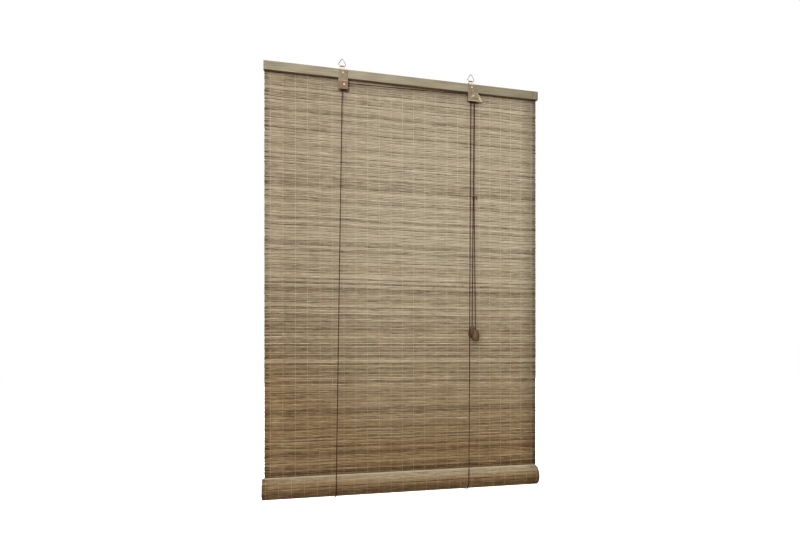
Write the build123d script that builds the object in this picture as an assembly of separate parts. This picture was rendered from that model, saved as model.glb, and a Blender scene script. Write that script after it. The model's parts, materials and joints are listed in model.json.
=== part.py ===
from build123d import *
import math
import os

os.makedirs("parts", exist_ok=True)

# A bamboo roll up blind, hung from two rings and rolled up a little at its foot.
# Millimetres.  Origin midway between the two ring seats, +X right, -Y towards the room, +Z up.

# Head rail
RAIL_WIDTH = 800
RAIL_HEIGHT = 25
RAIL_DEPTH = 10
RAIL_TOP = -28
RAIL_EDGE = 1.2

# Mat of bamboo splints, hanging behind the rail and rolled up at the foot
MAT_SIDE_INSET = 2
MAT_THICKNESS = 2
MAT_TOP_INSET = 1.5
DROP = 1178
ROLL_OUTER_RADIUS = 29.9
ROLL_PITCH = 2.35
ROLL_TURNS = 3
ROLL_SHIFT = -10
ROLL_SIDE_INSET = 7
ROLL_END_BEND = 7

# Bottom batten, rolled up in the foot of the mat
BATTEN_SIDE_INSET = 2
BATTEN_WIDTH = 25
BATTEN_THICKNESS = 8
BATTEN_EDGE = 1

# Staples
STAPLE_WIRE = 0.8
STAPLE_CROWN = 10
TOP_STAPLE_LEG = 7
TOP_STAPLES = 12
BATTEN_STAPLE_LEG = 6
BATTEN_STAPLES = 9
STAPLE_END_INSET = 30

# Cord
CORD = 2.5
CORD_GAP = 0.3
JOIN_GAP = 0.5

# Brackets of folded sheet: a plate in front, a loop round the ring, a leg behind
SHEET = 1.2
STRAP_SHEET = 1.0
HANGER_X = 188.5
PLATE_WIDTH = 26
PLATE_CORNER = 1
PLATE_DROP = 2.5
STRAP_WIDTH = 14
LOOP_WIDTH = 9
STRAP_OVERLAP = 6
STRAP_BEND = 1.2
SHOULDER_RISE = 0.6
LOOP_GAP = 0.25
LEG_GAP = 0.3
LEG_DROP = 34
EAR_DEPTH = 8
WEB_GAP = 0.2
WEB_SHEET = 1.0
CHEEK_GAP = 0.1
LEFT_PLATE_X = -186
LEFT_PLATE_HEIGHT = 55.5
BEAD_DROP = 33
BEAD_INSET = 2
BEAD_RADIUS = 1.1
BEAD_RISE = 0.5
RIGHT_PLATE_X = 191
RIGHT_PLATE_HEIGHT = 51
SHOULDER_INSET = 2.2
SHOULDER_FLARE = 3.5
FOOT_FLARE = 9
FLANGE_REACH = 7.3
FLANGE_RISE = 3
LIP_HEIGHT = 2.6
LIP_RISE = 1.6

# Rings of bent wire
RING_WIRE = 2
RING_BAR_Z = -19
RING_BAR_HALF = 6.5
RING_SIDE_HALF = 10.2
RING_SIDE_Z = -12.5
RING_PEAK_Z = 4
RING_CORNER = 2

# Wheels, each turning on a rivet
WHEEL_LEFT = (-183.5, -71)
WHEEL_RIGHT = (194, -63.3)
WHEEL_FLANGE_RADIUS = 6.2
WHEEL_PITCH_RADIUS = 5
WHEEL_GAP = 0.45
GROOVE_GAP = 0.2
AXLE_RADIUS = 1.5
AXLE_GAP = 0.1
RIVET_HEAD_RADIUS = 3
RIVET_HEAD_HEIGHT = 1
RIVET_TAIL_HEIGHT = 0.4

# Toothed roller of the cord lock
ROLLER_RADIUS = 4
ROLLER_TEETH = 14
ROLLER_TOOTH_DEPTH = 0.6
ROLLER_DROP = 5.5
TRUNNION_RADIUS = 1.4
TRUNNION_PROUD = 0.6
SLOT_TRAVEL = 3
SLOT_GAP = 0.1
SLOT_LEAN = 30

# Nails
NAIL_RADIUS = 0.9
NAIL_HEAD_RADIUS = 2.5
NAIL_HEAD_HEIGHT = 0.8
NAIL_LENGTH = 6
NAIL_SHIFT = 1.8
FRONT_NAIL_DROP = 11
REAR_NAIL_DROP = 12

# Where the lift cords cradle the roll, and the pull cords with their knot and acorns
SLING_LEFT_X = -209.5
SLING_RIGHT_X = 163
KNOT_Z = -362
KNOT_X = 196
KNOT_Y = -4
KNOT_RADIUS = 3.6
KNOT_HEIGHT = 11
ACORN_RADIUS = 10.8
ACORN_LENGTH = 33.5
ACORN_BORE_GAP = 0.3
ACORN_POCKET_RADIUS = 4.2
ACORN_POCKET_DEPTH = 12
ACORN_LEFT_TOP = (190.3, -6.4, -738)
ACORN_RIGHT_TOP = (193, -27, -748.5)
END_KNOT_RADIUS = 2.8

# Places worked out from the sizes above
RAIL_BOTTOM = RAIL_TOP - RAIL_HEIGHT
RAIL_FRONT = -RAIL_DEPTH / 2
RAIL_BACK = RAIL_DEPTH / 2
MAT_BACK = RAIL_BACK + MAT_THICKNESS
MAT_WIDTH = RAIL_WIDTH - 2 * MAT_SIDE_INSET
ROLL_WIDTH = RAIL_WIDTH - 2 * ROLL_SIDE_INSET
BATTEN_LENGTH = ROLL_WIDTH - 2 * BATTEN_SIDE_INSET
PLATE_FRONT = RAIL_FRONT - SHEET
CHEEK_OUTER_Y = RAIL_BACK - RIVET_TAIL_HEIGHT - CHEEK_GAP
CHEEK_INNER_Y = CHEEK_OUTER_Y - SHEET
LANE_STEP = CORD + CORD_GAP
LANE_FRONT = (RAIL_FRONT + CHEEK_INNER_Y - LANE_STEP) / 2
LANE_REAR = LANE_FRONT + LANE_STEP
KNOT_SPREAD = LANE_STEP / 2
ROLL_Z = RAIL_TOP - DROP + ROLL_OUTER_RADIUS
ROLL_Y = MAT_BACK - ROLL_OUTER_RADIUS
SLING_RADIUS = ROLL_OUTER_RADIUS + CORD_GAP + CORD / 2
LEG_Y = MAT_BACK + LEG_GAP + STRAP_SHEET / 2
EAR_Z = RAIL_TOP - LEG_DROP
EAR_HOLE_Y = LEG_Y + EAR_DEPTH / 2
WHEEL_FRONT = RAIL_FRONT + WHEEL_GAP
WHEEL_BACK = CHEEK_INNER_Y - WHEEL_GAP
ROLLER_X = WHEEL_RIGHT[0] + WHEEL_PITCH_RADIUS + CORD / 2 + CORD_GAP + ROLLER_RADIUS
ROLLER_Z = WHEEL_RIGHT[1] - ROLLER_DROP
WEB_TOP = RAIL_BOTTOM - WEB_GAP


def save(shape, name):
    export_step(shape, f"parts/{name}.step")


def block(x0, x1, y0, y1, z0, z1):
    return Pos((x0 + x1) / 2, (y0 + y1) / 2, (z0 + z1) / 2) * Box(x1 - x0, y1 - y0, z1 - z0)


def rod_y(x, z, radius, y0, y1):
    """A round bar along Y."""
    return Pos(x, (y0 + y1) / 2, z) * Rot(90, 0, 0) * Cylinder(radius, y1 - y0)


def tube(points, radii=None, diameter=CORD):
    """A cord of round section through the points, its corners rounded to the radii."""
    if radii is None:
        path = Line(*points)
    else:
        path = FilletPolyline(*points, radius=radii)
    section = Plane(path @ 0, z_dir=path % 0) * Circle(diameter / 2)
    solid = sweep(section, path)
    expected = math.pi * diameter ** 2 / 4 * path.length
    print(f"cord length {path.length:.1f} volume ratio {solid.volume / expected:.4f} radii {radii}")
    return solid


# Head rail: a planed batten with its long edges eased
rail = block(-RAIL_WIDTH / 2, RAIL_WIDTH / 2, RAIL_FRONT, RAIL_BACK, RAIL_BOTTOM, RAIL_TOP)
rail = fillet(rail.edges().filter_by(Axis.X), RAIL_EDGE)
save(rail, "head_rail")

# Hanging part of the mat
mat_top = RAIL_TOP - MAT_TOP_INSET
mat = block(-MAT_WIDTH / 2, MAT_WIDTH / 2, RAIL_BACK, MAT_BACK, ROLL_Z + CORD_GAP, mat_top)
save(mat, "hanging_mat")


def roll_path():
    """Half turns about the roll's axis, each smaller by half the pitch, then a flat end."""
    outer = ROLL_OUTER_RADIUS - MAT_THICKNESS / 2
    pieces = []
    for turn in range(ROLL_TURNS):
        low = outer - turn * ROLL_PITCH
        high = low - ROLL_PITCH / 2
        shift = high - low
        pieces.append(ThreePointArc((low, 0), (0, -low), (-low, 0)))
        pieces.append(ThreePointArc((-low, 0), (shift, high), (shift + high, 0)))
    inner = outer - ROLL_TURNS * ROLL_PITCH
    bend = ROLL_END_BEND
    mid = bend * math.sqrt(0.5)
    pieces.append(ThreePointArc((inner, 0), (inner - bend + mid, -mid), (inner - bend, -bend)))
    pieces.append(Line((inner - bend, -bend), (inner - bend - BATTEN_WIDTH - 1, -bend)))
    return Wire([edge for piece in pieces for edge in piece.edges()])


# Rolled part of the mat: one sheet wound round the batten
roll_plane = Plane(origin=(ROLL_SHIFT - ROLL_WIDTH / 2, ROLL_Y, ROLL_Z), x_dir=(0, 1, 0), z_dir=(1, 0, 0))
roll_face = roll_plane * trace(roll_path(), MAT_THICKNESS)
mat_roll = extrude(roll_face, ROLL_WIDTH, dir=(1, 0, 0))
save(mat_roll, "mat_roll")

# Bottom batten, lying on the flat inner end of the mat
batten_end_y = ROLL_Y + ROLL_OUTER_RADIUS - MAT_THICKNESS / 2 - ROLL_TURNS * ROLL_PITCH - ROLL_END_BEND
batten_floor = ROLL_Z - ROLL_END_BEND + MAT_THICKNESS / 2
batten = block(
    ROLL_SHIFT - BATTEN_LENGTH / 2, ROLL_SHIFT + BATTEN_LENGTH / 2,
    batten_end_y - BATTEN_WIDTH, batten_end_y,
    batten_floor, batten_floor + BATTEN_THICKNESS)
batten = fillet(batten.edges().filter_by(Axis.X), BATTEN_EDGE)
save(batten, "bottom_batten")


def staple(leg):
    """A wire staple at the origin, its crown along X on top and its legs down along -Z."""
    half = STAPLE_CROWN / 2
    wire = STAPLE_WIRE
    crown = block(-half, half, -wire / 2, wire / 2, 0, wire)
    left = block(-half, -half + wire, -wire / 2, wire / 2, -leg, wire)
    right = block(half - wire, half, -wire / 2, wire / 2, -leg, wire)
    return crown + left + right


def staple_row(count, length, shift, leg, turn, y, z):
    reach = length / 2 - STAPLE_END_INSET
    step = 2 * reach / (count - 1)
    row = []
    for index in range(count):
        row.append(Pos(shift - reach + index * step, y, z) * Rot(turn, 0, 0) * staple(leg))
    return Compound(children=row)


# Staples: through the mat into the back of the rail, and through the mat into the batten
save(staple_row(TOP_STAPLES, RAIL_WIDTH, 0, TOP_STAPLE_LEG, -90, MAT_BACK,
                (RAIL_TOP + RAIL_BOTTOM) / 2), "top_staples")
save(staple_row(BATTEN_STAPLES, BATTEN_LENGTH, ROLL_SHIFT, BATTEN_STAPLE_LEG, 180,
                batten_end_y - BATTEN_WIDTH / 2, batten_floor - MAT_THICKNESS), "batten_staples")


def strap(hanger_x):
    """The sheet that rises from the plate, loops round the ring's bar and runs down behind."""
    loop = RING_WIRE / 2 + LOOP_GAP + STRAP_SHEET / 2
    front = PLATE_FRONT + STRAP_SHEET / 2
    shoulder = RAIL_TOP + SHOULDER_RISE
    waist = RING_BAR_Z - loop
    crown = RING_BAR_Z + loop
    points = [
        (front, RAIL_TOP - STRAP_OVERLAP), (front, shoulder), (-loop, waist), (-loop, crown),
        (loop, crown), (loop, waist), (LEG_Y, shoulder), (LEG_Y, EAR_Z), (LEG_Y + EAR_DEPTH, EAR_Z)]
    bend = STRAP_BEND
    radii = [bend, bend, loop * 0.98, loop * 0.98, bend, bend, bend]
    path = FilletPolyline(*points, radius=radii)
    side = Plane(origin=(hanger_x - STRAP_WIDTH / 2, 0, 0), x_dir=(0, 1, 0), z_dir=(1, 0, 0))
    sheet = extrude(side * trace(path.wire(), STRAP_SHEET), STRAP_WIDTH, dir=(1, 0, 0))
    for sign in (-1, 1):
        inner = hanger_x + sign * LOOP_WIDTH / 2
        outer = hanger_x + sign * (STRAP_WIDTH / 2 + 1)
        sheet -= block(min(inner, outer), max(inner, outer), -loop * 2, loop * 2, waist - 0.8, crown + loop)
    sheet -= Pos(hanger_x, EAR_HOLE_Y, EAR_Z) * Cylinder(CORD / 2 + CORD_GAP, 4 * STRAP_SHEET)
    sheet -= rod_y(hanger_x, RAIL_TOP - REAR_NAIL_DROP, NAIL_RADIUS + AXLE_GAP, MAT_BACK, LEG_Y + 2)
    return sheet


def left_bracket():
    x0 = LEFT_PLATE_X - PLATE_WIDTH / 2
    x1 = LEFT_PLATE_X + PLATE_WIDTH / 2
    bottom = RAIL_TOP - LEFT_PLATE_HEIGHT
    plate = block(x0, x1, PLATE_FRONT, RAIL_FRONT, bottom, RAIL_TOP - PLATE_DROP)
    plate = fillet(plate.edges().filter_by(Axis.Y), PLATE_CORNER)
    cheek = block(x0, x1, CHEEK_INNER_Y, CHEEK_OUTER_Y, bottom, WEB_TOP)
    cheek = fillet(cheek.edges().filter_by(Axis.Y).sort_by(Axis.Z)[:2], PLATE_CORNER)
    web = block(x0, x1, RAIL_FRONT, CHEEK_OUTER_Y, WEB_TOP - WEB_SHEET, WEB_TOP)
    bead = Pos(LEFT_PLATE_X, PLATE_FRONT + BEAD_RADIUS - BEAD_RISE, RAIL_TOP - BEAD_DROP)
    bead *= Rot(0, 90, 0) * Cylinder(BEAD_RADIUS, PLATE_WIDTH - 2 * BEAD_INSET)
    bead &= block(x0, x1, PLATE_FRONT - 1, RAIL_FRONT, bottom, RAIL_TOP)
    housing = plate + bead + cheek + web
    housing -= rod_y(*WHEEL_LEFT, AXLE_RADIUS + AXLE_GAP / 2, PLATE_FRONT - 1, CHEEK_OUTER_Y + 1)
    return finish_bracket(housing, -HANGER_X)


def finish_bracket(housing, hanger_x):
    nail_z = RAIL_TOP - FRONT_NAIL_DROP
    body = housing + strap(hanger_x)
    body -= rod_y(hanger_x + NAIL_SHIFT, nail_z, NAIL_RADIUS + AXLE_GAP, PLATE_FRONT - 1, RAIL_FRONT)
    return body


def slot_cut(y0, y1):
    """The slanted slot that the roller's trunnions run in."""
    lean = math.radians(SLOT_LEAN)
    dx = SLOT_TRAVEL * math.sin(lean)
    dz = -SLOT_TRAVEL * math.cos(lean)
    radius = TRUNNION_RADIUS + SLOT_GAP
    ends = rod_y(ROLLER_X, ROLLER_Z, radius, y0, y1) + rod_y(ROLLER_X + dx, ROLLER_Z + dz, radius, y0, y1)
    middle = Box(2 * radius, y1 - y0, SLOT_TRAVEL)
    return ends + Pos(ROLLER_X + dx / 2, (y0 + y1) / 2, ROLLER_Z + dz / 2) * Rot(0, -SLOT_LEAN, 0) * middle


def right_bracket():
    x0 = RIGHT_PLATE_X - PLATE_WIDTH / 2
    x1 = RIGHT_PLATE_X + PLATE_WIDTH / 2
    bottom = RAIL_TOP - RIGHT_PLATE_HEIGHT + LIP_HEIGHT
    across = Plane(origin=(0, 0, 0), x_dir=(1, 0, 0), z_dir=(0, -1, 0))

    def flared(top, y0, y1):
        outline = Polyline(
            (x0, top), (x1 - SHOULDER_INSET, top), (x1 + SHOULDER_FLARE, min(top, RAIL_BOTTOM)),
            (x1 + FOOT_FLARE, bottom), (x0, bottom), close=True)
        return Pos(0, y1, 0) * extrude(across * make_face(outline), y1 - y0)

    plate = flared(RAIL_TOP - PLATE_DROP, PLATE_FRONT, RAIL_FRONT)
    plate = fillet(plate.edges().filter_by(Axis.Y).sort_by(Axis.X)[:2], PLATE_CORNER)
    cheek = flared(WEB_TOP, CHEEK_INNER_Y, CHEEK_OUTER_Y)
    web = block(x0, x1, RAIL_FRONT, CHEEK_OUTER_Y, WEB_TOP - WEB_SHEET, WEB_TOP)
    flange = extrude(make_face(Polyline(
        (x1 + SHOULDER_FLARE, PLATE_FRONT, RAIL_BOTTOM), (x1 + FOOT_FLARE, PLATE_FRONT, bottom),
        (x1 + FOOT_FLARE + FLANGE_REACH, PLATE_FRONT - FLANGE_RISE, bottom - LIP_HEIGHT),
        close=True)), SHEET, dir=(0, 1, 0))
    lip = extrude(make_face(Polyline(
        (x0, PLATE_FRONT, bottom), (x0, RAIL_FRONT, bottom),
        (x0, RAIL_FRONT - LIP_RISE, bottom - LIP_HEIGHT), (x0, PLATE_FRONT - LIP_RISE, bottom - LIP_HEIGHT),
        close=True)), PLATE_WIDTH + FOOT_FLARE, dir=(1, 0, 0))
    housing = plate + cheek + web + flange + lip
    housing -= rod_y(*WHEEL_RIGHT, AXLE_RADIUS + AXLE_GAP / 2, PLATE_FRONT - 1, CHEEK_OUTER_Y + 1)
    housing -= slot_cut(PLATE_FRONT - 1, RAIL_FRONT + 0.5)
    housing -= slot_cut(CHEEK_INNER_Y - 0.5, CHEEK_OUTER_Y + 1)
    return finish_bracket(housing, HANGER_X)


save(left_bracket(), "bracket_left")
save(right_bracket(), "lock_bracket_right")


def ring(hanger_x):
    """A wire ring with a straight bar below and a round top, the seat at z = 0."""
    lean = math.atan2(RING_SIDE_HALF, RING_PEAK_Z - RING_SIDE_Z)
    top_radius = (RING_PEAK_Z - RING_WIRE / 2) / (1 / math.sin(lean) - 1)
    points = [
        (RING_BAR_HALF, RING_BAR_Z), (RING_SIDE_HALF, RING_SIDE_Z), (0, RING_PEAK_Z),
        (-RING_SIDE_HALF, RING_SIDE_Z), (-RING_BAR_HALF, RING_BAR_Z)]
    radii = [RING_CORNER, RING_CORNER, top_radius, RING_CORNER, RING_CORNER]
    spots = [(hanger_x + x, 0, z) for x, z in points]
    path = FilletPolyline(*spots, radius=radii, close=True)
    section = Plane(path @ 0, z_dir=path % 0) * Circle(RING_WIRE / 2)
    return sweep(section, path)


save(ring(-HANGER_X), "ring_left")
save(ring(HANGER_X), "ring_right")


def nail(x, y, z, direction):
    """A round nail whose head rests on the face at y and whose shank points along direction."""
    tip = y + direction * NAIL_LENGTH
    shank = rod_y(x, z, NAIL_RADIUS, min(y, tip), max(y, tip))
    head_end = y - direction * NAIL_HEAD_HEIGHT
    head = rod_y(x, z, NAIL_HEAD_RADIUS, min(y, head_end), max(y, head_end))
    rim = head.edges().filter_by(GeomType.CIRCLE).sort_by(Axis.Y)
    head = fillet(rim[0] if direction > 0 else rim[-1], NAIL_HEAD_HEIGHT * 0.7)
    return shank + head


nails = []
for hanger_x in (-HANGER_X, HANGER_X):
    nails.append(nail(hanger_x + NAIL_SHIFT, PLATE_FRONT, RAIL_TOP - FRONT_NAIL_DROP, 1))
    nails.append(nail(hanger_x, LEG_Y + STRAP_SHEET / 2, RAIL_TOP - REAR_NAIL_DROP, -1))
save(Compound(children=nails), "bracket_nails")


def wheel(x, z):
    """A two lane cord wheel with a plain bore."""
    groove = WHEEL_PITCH_RADIUS
    body = rod_y(x, z, WHEEL_FLANGE_RADIUS, WHEEL_FRONT, WHEEL_BACK)
    body -= rod_y(x, z, AXLE_RADIUS + AXLE_GAP, WHEEL_FRONT - 1, WHEEL_BACK + 1)
    for lane in (LANE_FRONT, LANE_REAR):
        reach = CORD / 2 + GROOVE_GAP
        body -= Pos(x, lane, z) * Rot(90, 0, 0) * Torus(groove, reach)
        body -= (rod_y(x, z, WHEEL_FLANGE_RADIUS + 1, lane - reach, lane + reach)
                 - rod_y(x, z, groove, lane - CORD, lane + CORD))
    return body


def axle(x, z):
    """A rivet through both plates with a domed head at each end."""
    shaft = rod_y(x, z, AXLE_RADIUS, PLATE_FRONT, CHEEK_OUTER_Y)
    front = rod_y(x, z, RIVET_HEAD_RADIUS, PLATE_FRONT - RIVET_HEAD_HEIGHT, PLATE_FRONT)
    front = fillet(front.edges().filter_by(GeomType.CIRCLE).sort_by(Axis.Y)[0], RIVET_HEAD_HEIGHT * 0.8)
    tail = rod_y(x, z, RIVET_HEAD_RADIUS * 0.8, CHEEK_OUTER_Y, CHEEK_OUTER_Y + RIVET_TAIL_HEIGHT)
    return shaft + front + tail


for side, place in (("left", WHEEL_LEFT), ("right", WHEEL_RIGHT)):
    save(wheel(*place), f"wheel_{side}")
    save(axle(*place), f"axle_{side}")


def lock_roller():
    """A toothed roller whose trunnions run in the slanted slots."""
    body = rod_y(ROLLER_X, ROLLER_Z, ROLLER_RADIUS, WHEEL_FRONT, WHEEL_BACK)
    for index in range(ROLLER_TEETH):
        angle = 2 * math.pi * index / ROLLER_TEETH
        x = ROLLER_X + ROLLER_RADIUS * math.cos(angle)
        z = ROLLER_Z + ROLLER_RADIUS * math.sin(angle)
        body -= rod_y(x, z, ROLLER_TOOTH_DEPTH, WHEEL_FRONT - 1, WHEEL_BACK + 1)
    front = PLATE_FRONT - TRUNNION_PROUD
    back = CHEEK_OUTER_Y + RIVET_TAIL_HEIGHT
    return body + rod_y(ROLLER_X, ROLLER_Z, TRUNNION_RADIUS, front, back)


save(lock_roller(), "lock_roller")

# Cords that the blind holds all the way
radius = WHEEL_PITCH_RADIUS
lx, lz = WHEEL_LEFT
rx, rz = WHEEL_RIGHT
slope = math.atan2(rz - lz, rx - lx)
level = lz + radius / math.cos(slope)
left_corner = level - radius * math.tan(slope)
right_corner = level + (rx + radius - lx) * math.tan(slope)
below = JOIN_GAP
cross = [
    (lx - radius, LANE_FRONT, lz - below), (lx - radius, LANE_FRONT, left_corner),
    (rx + radius, LANE_FRONT, right_corner), (rx + radius, LANE_FRONT, rz - below)]
save(tube(cross, [radius, radius]), "cross_cord")

over = [
    (rx - radius, LANE_REAR, rz - below), (rx - radius, LANE_REAR, rz + radius),
    (rx + radius, LANE_REAR, rz + radius), (rx + radius, LANE_REAR, rz - below)]
save(tube(over, [radius * 0.999, radius * 0.999]), "right_wheel_cord")

for side, wheel_x, wheel_z, lane, sling_x, hanger_x in (
        ("left", lx, lz, LANE_FRONT, SLING_LEFT_X, -HANGER_X),
        ("right", rx, rz, LANE_REAR, SLING_RIGHT_X, HANGER_X)):
    front_top = (wheel_x - radius, lane, wheel_z - below)
    front_foot = (sling_x, ROLL_Y - SLING_RADIUS, ROLL_Z + JOIN_GAP)
    save(tube([front_top, front_foot]), f"{side}_lift_cord_front")
    back_top = (hanger_x, EAR_HOLE_Y, EAR_Z + STRAP_SHEET / 2)
    back_foot = (sling_x, ROLL_Y + SLING_RADIUS, ROLL_Z + JOIN_GAP)
    save(tube([back_top, back_foot]), f"{side}_lift_cord_back")
    half = ThreePointArc(
        (sling_x, ROLL_Y - SLING_RADIUS, ROLL_Z),
        (sling_x, ROLL_Y, ROLL_Z - SLING_RADIUS),
        (sling_x, ROLL_Y + SLING_RADIUS, ROLL_Z))
    section = Plane(half @ 0, z_dir=half % 0) * Circle(CORD / 2)
    save(sweep(section, half), f"{side}_cord_sling")

# Knots of the lift cords on the ears of the rear legs
anchor_knots = []
for hanger_x in (-HANGER_X, HANGER_X):
    knot_seat = EAR_Z + STRAP_SHEET / 2 + END_KNOT_RADIUS
    anchor_knots.append(Pos(hanger_x, EAR_HOLE_Y, knot_seat) * Sphere(END_KNOT_RADIUS))
save(Compound(children=anchor_knots), "anchor_knots")

# Pull cords: down from the lock to one knot, then on to the acorns
knot_top = KNOT_Z + KNOT_HEIGHT / 2
knot_foot = KNOT_Z - KNOT_HEIGHT / 2
tails = {}
for side, lane, acorn_top in (
        ("left", LANE_FRONT, ACORN_LEFT_TOP), ("right", LANE_REAR, ACORN_RIGHT_TOP)):
    y = KNOT_Y + (KNOT_SPREAD if side == "right" else -KNOT_SPREAD)
    start = (rx + radius, lane, rz - below)
    save(tube([start, (KNOT_X, y, knot_top + JOIN_GAP)]), f"{side}_pull_cord_top")
    x = KNOT_X + (KNOT_SPREAD if side == "right" else -KNOT_SPREAD)
    tails[side] = ((x, KNOT_Y, knot_foot), acorn_top)

knot_profile = Plane.XZ * make_face(Polyline(
    (0, -KNOT_HEIGHT / 2), (KNOT_RADIUS * 0.8, -KNOT_HEIGHT / 2), (KNOT_RADIUS, -KNOT_HEIGHT / 4),
    (KNOT_RADIUS * 0.85, 0), (KNOT_RADIUS, KNOT_HEIGHT / 4), (KNOT_RADIUS * 0.8, KNOT_HEIGHT / 2),
    (0, KNOT_HEIGHT / 2), close=True))
save(Pos(KNOT_X, KNOT_Y, KNOT_Z) * revolve(knot_profile, Axis.Z), "cord_knot")


def acorn():
    """A turned wooden acorn, its top at the origin, bored for the cord with a pocket for the knot."""
    r = ACORN_RADIUS
    h = ACORN_LENGTH
    bore = CORD / 2 + ACORN_BORE_GAP
    top = Line((bore, 0), (r * 0.36, 0))
    neck = Spline((r * 0.36, 0), (r * 0.78, -h * 0.18), (r, -h * 0.56), tangents=((1, -0.3), (0, -1)))
    belly = Spline((r, -h * 0.56), (r * 0.87, -h * 0.86), (r * 0.54, -h), tangents=((0, -1), (-1, -0.5)))
    base = Line((r * 0.54, -h), (ACORN_POCKET_RADIUS, -h))
    pocket = Line((ACORN_POCKET_RADIUS, -h), (ACORN_POCKET_RADIUS, ACORN_POCKET_DEPTH - h))
    ledge = Line((ACORN_POCKET_RADIUS, ACORN_POCKET_DEPTH - h), (bore, ACORN_POCKET_DEPTH - h))
    wall = Line((bore, ACORN_POCKET_DEPTH - h), (bore, 0))
    face = make_face([top, neck, belly, base, pocket, ledge, wall])
    return revolve(Plane.XZ * face, Axis.Z)


end_knots = []
for side, (tail_top, acorn_top) in tails.items():
    run = Vector(*acorn_top) - Vector(*tail_top)
    down = run.normalized()
    seat = Vector(*acorn_top) + down * (ACORN_LENGTH - ACORN_POCKET_DEPTH)
    save(tube([tail_top, tuple(seat)]), f"{side}_pull_cord_tail")
    place = Plane(origin=acorn_top, x_dir=(1, 0, -down.X / down.Z), z_dir=tuple(-down))
    save(place * acorn(), f"acorn_{side}")
    end_knots.append(Pos(*(seat + down * END_KNOT_RADIUS)) * Sphere(END_KNOT_RADIUS))
save(Compound(children=end_knots), "acorn_knots")
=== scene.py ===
import json
import math

import bpy
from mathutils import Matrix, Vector


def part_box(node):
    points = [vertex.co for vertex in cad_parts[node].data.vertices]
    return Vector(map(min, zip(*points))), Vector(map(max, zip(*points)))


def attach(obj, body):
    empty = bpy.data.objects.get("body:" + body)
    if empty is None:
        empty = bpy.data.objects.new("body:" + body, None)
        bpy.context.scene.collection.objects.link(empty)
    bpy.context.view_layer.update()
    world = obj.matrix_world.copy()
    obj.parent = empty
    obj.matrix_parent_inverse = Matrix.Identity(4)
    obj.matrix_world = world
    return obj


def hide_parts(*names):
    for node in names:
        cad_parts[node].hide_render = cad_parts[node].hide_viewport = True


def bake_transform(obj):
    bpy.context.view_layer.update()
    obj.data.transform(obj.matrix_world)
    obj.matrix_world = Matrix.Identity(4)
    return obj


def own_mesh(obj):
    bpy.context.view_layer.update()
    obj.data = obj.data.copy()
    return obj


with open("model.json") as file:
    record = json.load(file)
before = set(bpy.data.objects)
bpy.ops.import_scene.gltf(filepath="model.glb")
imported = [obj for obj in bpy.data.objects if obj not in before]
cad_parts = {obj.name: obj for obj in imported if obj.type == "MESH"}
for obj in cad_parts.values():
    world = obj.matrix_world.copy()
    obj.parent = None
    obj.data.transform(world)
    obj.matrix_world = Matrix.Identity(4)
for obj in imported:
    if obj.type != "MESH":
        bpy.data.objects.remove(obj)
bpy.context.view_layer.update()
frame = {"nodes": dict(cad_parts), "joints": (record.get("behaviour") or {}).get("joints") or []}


def toLinear(hexColour):
    channels = [int(hexColour[i:i + 2], 16) / 255 for i in (1, 3, 5)]
    return tuple(c / 12.92 if c <= 0.04045 else ((c + 0.055) / 1.055) ** 2.4 for c in channels) + (1.0,)


def addNode(tree, kind, *feeds, named=None, stops=None, **settings):
    # each feed is a value, a socket, or a node whose first output is used; stops are for a colour ramp
    node = tree.nodes.new(kind)
    for key, value in settings.items():
        setattr(node, key, value)
    for key, feed in [*enumerate(feeds), *(named or {}).items()]:
        feed = feed.outputs[0] if isinstance(feed, bpy.types.Node) else feed
        if isinstance(feed, bpy.types.NodeSocket):
            tree.links.new(feed, node.inputs[key])
        elif feed is not None:
            node.inputs[key].default_value = feed
    for count, (place, colour) in enumerate(stops or []):
        elements = node.color_ramp.elements
        element = elements[count] if count < 2 else elements.new(place)
        element.position, element.color = place, toLinear(colour)
    return node


def newMaterial(name, **shader):
    material = bpy.data.materials.new(name)
    material.use_nodes = True
    surface = material.node_tree.nodes["Principled BSDF"]
    for key, value in shader.items():
        surface.inputs[key.replace("_", " ")].default_value = value
    return material, material.node_tree, surface


def newObject(name, mesh):
    piece = bpy.data.objects.new(name, mesh)
    bpy.context.scene.collection.objects.link(piece)
    return piece


def middleOf(nodeName):
    low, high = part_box(nodeName)
    return (low + high) / 2


# places that the frame gives
railLow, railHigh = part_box("head_rail")
matLow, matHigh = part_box("hanging_mat")
rollLow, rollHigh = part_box("mat_roll")
jointByName = {joint["name"]: joint for joint in frame["joints"]}
rollAxis = Vector(jointByName["roll_turn"]["pos_m"])
rollRadius = (rollHigh.y - rollLow.y) / 2
rollCentreX = (rollLow.x + rollHigh.x) / 2
matThickness = matHigh.y - matLow.y
matMiddleY = (matHigh.y + matLow.y) / 2
blindMiddle = Vector((0, 0, (railHigh.z + rollLow.z) / 2))


# camera at eye height, turned a little to the right
camera = {"turn": 12.0, "place": (-0.3182, -1.3835, -0.8032), "lens": 22.33, "sensor": 36.0, "shiftY": 0.0937}
cameraData = bpy.data.cameras.new("camera")
cameraData.lens = camera["lens"]
cameraData.sensor_width = camera["sensor"]
cameraData.shift_y = camera["shiftY"]
cameraObject = newObject("camera", cameraData)
cameraObject.location = camera["place"]
cameraObject.rotation_euler = (math.pi / 2, 0, -math.radians(camera["turn"]))
bpy.context.scene.camera = cameraObject
bpy.context.scene.view_settings.view_transform = "Standard"

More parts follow.
